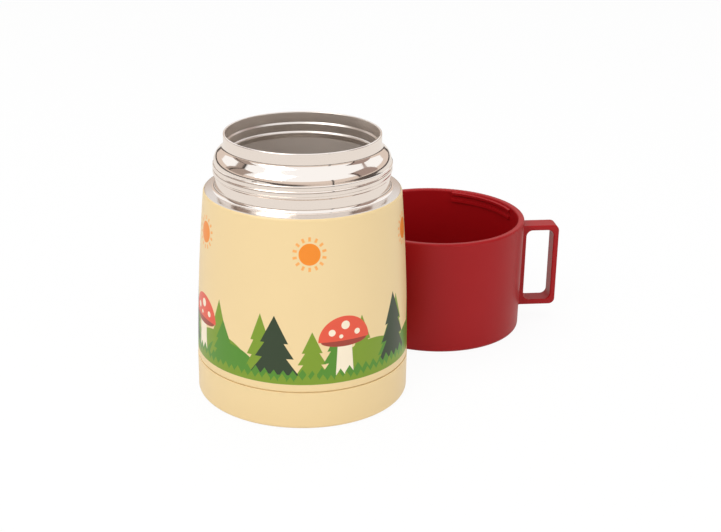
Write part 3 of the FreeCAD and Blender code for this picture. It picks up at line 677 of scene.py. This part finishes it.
def show(finish, picture, lighting, share=1.0):
    """Ends a finish in one surface for the rays that the picture shows, directly, mirrored or through
    glass, and another for those that only light."""
    path = finish.node("ShaderNodeLightPath", {}, {})
    shown = path.out("Is Camera Ray").most(path.out("Is Glossy Ray")).most(path.out("Is Transmission Ray"))
    both = finish.node("ShaderNodeMixShader", {}, {0: shown * share, 1: lighting, 2: picture})
    finish.feed(finish.surface, both)


def sheet(name, corners, faces, finish):
    """A flat piece of the studio, which isn't part of the jar."""
    mesh = bpy.data.meshes.new(name)
    mesh.from_pydata(corners, [], faces)
    mesh.materials.append(finish.material)
    piece = bpy.data.objects.new(name, mesh)
    bpy.context.scene.collection.objects.link(piece)
    return piece


def square(half, z):
    return [(x * half, y * half, z) for x, y in ((-1, -1), (1, -1), (1, 1), (-1, 1))]


table = Finish("white_table", Roughness=0.8, Base_Color=TABLE_TONE)
plain = table.node("ShaderNodeEmission", {}, {"Color": WHITE, "Strength": 1.0})
show(table, plain, Wire(table, table.shader.outputs["BSDF"]), TABLE_SHOWN)
sheet("table_top", square(TABLE_HALF, 0.0), [(0, 1, 2, 3)], table)

surround = Surround("studio")
plain = surround.node("ShaderNodeBackground", {}, {"Color": WHITE, "Strength": 1.0})
dim = surround.node("ShaderNodeBackground", {}, {"Color": WHITE, "Strength": SURROUND_LIGHT})
show(surround, plain, dim)


def soft_box(name, place, aim, size, power):
    """An oblong lamp that faces a point and isn't mirrored."""
    lamp = bpy.data.lights.new(name, "AREA")
    lamp.shape = "RECTANGLE"
    lamp.size, lamp.size_y = size
    lamp.energy = power
    holder = bpy.data.objects.new(name, lamp)
    holder.visible_glossy = False
    holder.location = place
    holder.rotation_euler = (Vector(aim) - Vector(place)).to_track_quat("-Z", "Y").to_euler()
    bpy.context.scene.collection.objects.link(holder)


soft_box("key_box", place=(-0.7, -0.9, 1.1), aim=(0.0, 0.0, 0.06), size=(0.9, 0.7), power=9.0)
soft_box("fill_box", place=(1.0, -0.8, 0.6), aim=(0.03, 0.03, 0.05), size=(0.8, 0.8), power=3.0)
soft_box("top_box", place=(0.0, 0.25, 1.2), aim=(0.02, 0.03, 0.05), size=(1.0, 0.8), power=5.0)


def mirrored_card(name, corners, faces, tint, glow=1.0):
    """A card that shows only in what shines: it lights nothing and casts no shadow."""
    paint = Finish(name, Roughness=1.0, Specular_IOR_Level=0.0, Base_Color=(0.0, 0.0, 0.0),
                   Emission_Color=srgb(*tint), Emission_Strength=glow)
    card = sheet(name, corners, faces, paint)
    for ray in ("camera", "diffuse", "transmission", "volume_scatter", "shadow"):
        setattr(card, "visible_" + ray, False)


def leaning_card(name, bearing, distance, across, low, high, tint, glow, lean):
    """A card that faces the jar from a bearing in degrees, 0 at the front and 90 on the right. Its
    top leans in."""
    turned = math.radians(bearing)
    ahead = Vector((math.sin(turned), -math.cos(turned), 0.0))
    beside = Vector((ahead.y, -ahead.x, 0.0)) * (across / 2)
    corners = [tuple(ahead * reach + side * beside + Vector((0.0, 0.0, z)))
               for side, z, reach in ((-1, low, distance), (1, low, distance),
                                      (1, high, distance - lean), (-1, high, distance - lean))]
    mirrored_card(name, corners, [(0, 1, 2, 3)], tint, glow)


def card_ring(name, low, high, tint, sides=48):
    """A band of card all round the jar."""
    angles = [math.tau * i / sides for i in range(sides)]
    corners = [(ROOM_R * math.cos(a), ROOM_R * math.sin(a), z) for z in (low, high) for a in angles]
    faces = [(i, (i + 1) % sides, (i + 1) % sides + sides, i + sides) for i in range(sides)]
    mirrored_card(name, corners, faces, tint)


mirrored_card("table_card", square(ROOM_R, CARD_LIFT), [(0, 1, 2, 3)], (235, 229, 223))
card_ring("room_band", ROOM_FOOT, ROOM_TOP, (84, 76, 72))
card_ring("wall_band", ROOM_TOP, WALL_TOP, (222, 206, 194))
for name, bearing, distance, across, low, high, tint, glow, lean in (
        ("window_card", -45, 1.4, 0.95, 0.62, 1.65, (255, 252, 246), 3.0, 0.7),
        ("left_panel", -97, 1.3, 0.80, 0.30, 1.15, (166, 150, 140), 1.0, 0.2),
        ("left_stand", -106, 1.2, 0.07, 0.30, 1.15, (66, 60, 56), 1.0, 0.2),
        ("right_panel", 92, 1.3, 0.85, 0.26, 1.10, (164, 144, 136), 1.0, 0.2),
        ("right_stand", 76, 1.2, 0.06, 0.20, 0.95, (60, 56, 54), 1.0, 0.2),
        ("far_stand", 38, 1.3, 0.06, 0.15, 0.60, (84, 80, 78), 1.0, 0.0)):
    leaning_card(name, bearing, distance, across, low, high, tint, glow, lean)


# Camera: it stands where the photograph was taken from, in front and above, worked out from the
# ellipses of the rim and base. It looks down, and its shift moves the jar to the left.

CAMERA_AWAY, CAMERA_UP, CAMERA_TILT = 0.5718, 0.2791, math.radians(21.25)
SENSOR_WIDTH, LENS, SHIFT_RIGHT, NEAREST = 36.0, 68.65, 0.0804, 0.01

camera_data = bpy.data.cameras.new("camera")
camera_data.sensor_width = SENSOR_WIDTH
camera_data.lens = LENS
camera_data.shift_x = SHIFT_RIGHT
camera_data.clip_start = NEAREST
camera = bpy.data.objects.new("camera", camera_data)
camera.location = (0.0, -CAMERA_AWAY, CAMERA_UP)
camera.rotation_euler = (math.radians(90) - CAMERA_TILT, 0.0, 0.0)
bpy.context.scene.collection.objects.link(camera)
bpy.context.scene.camera = camera
bpy.context.scene.view_settings.view_transform = "Standard"
